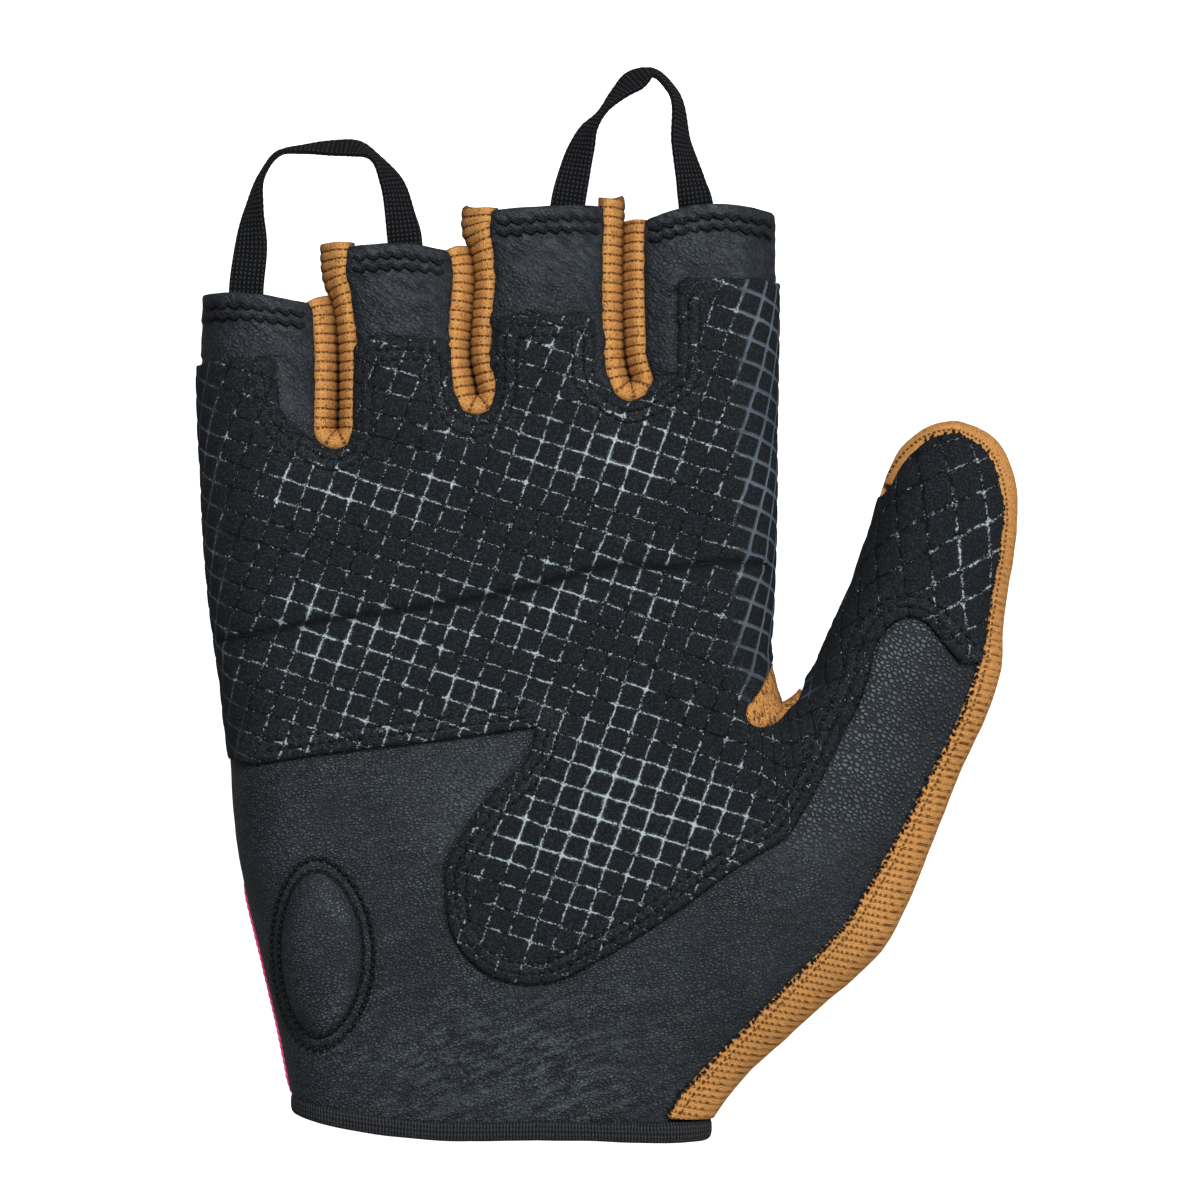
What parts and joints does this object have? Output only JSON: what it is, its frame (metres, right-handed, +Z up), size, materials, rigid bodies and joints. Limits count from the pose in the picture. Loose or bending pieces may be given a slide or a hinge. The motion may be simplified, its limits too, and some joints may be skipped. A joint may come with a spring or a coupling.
{
  "type": "wheelchair glove",
  "caption": "Right-hand glove for a wheelchair user, lying on its back: leather palm with a grooved grip overlay, open finger sleeves, closed thumb, pull loops and a wrist binding.",
  "frame": {"origin": "bottom centre of the bounding box, on the surface that the glove's back lies on", "axes": "+X across the palm towards the thumb, +Y from the wrist to the fingers, +Z up out of the palm"},
  "size_m": [0.1422, 0.187, 0.022],
  "materials": {
    "leather": "dark blue-grey leather, fine pebble grain, low sheen",
    "grip": "black suede-like overlay with a square grid of grooves, matt",
    "knit": "tan ribbed knit, matt",
    "binding": "charcoal ribbed knit, matt",
    "webbing": "black woven webbing, matt",
    "pad": "padded dark leather, low sheen",
    "piping": "bright pink piping, matt"
  },
  "bodies": {
    "root": {"palm_leather": "leather", "grip_panel": "grip", "back_fabric": "knit", "fourchette_pinky_ring": "knit", "fourchette_ring_middle": "knit", "fourchette_middle_index": "knit", "thumb_gusset": "knit", "wrist_binding": "binding", "pull_loop_outer": "webbing", "pull_loop_inner": "webbing", "heel_pad": "pad", "side_piping": "piping"}
  },
  "joints": []
}
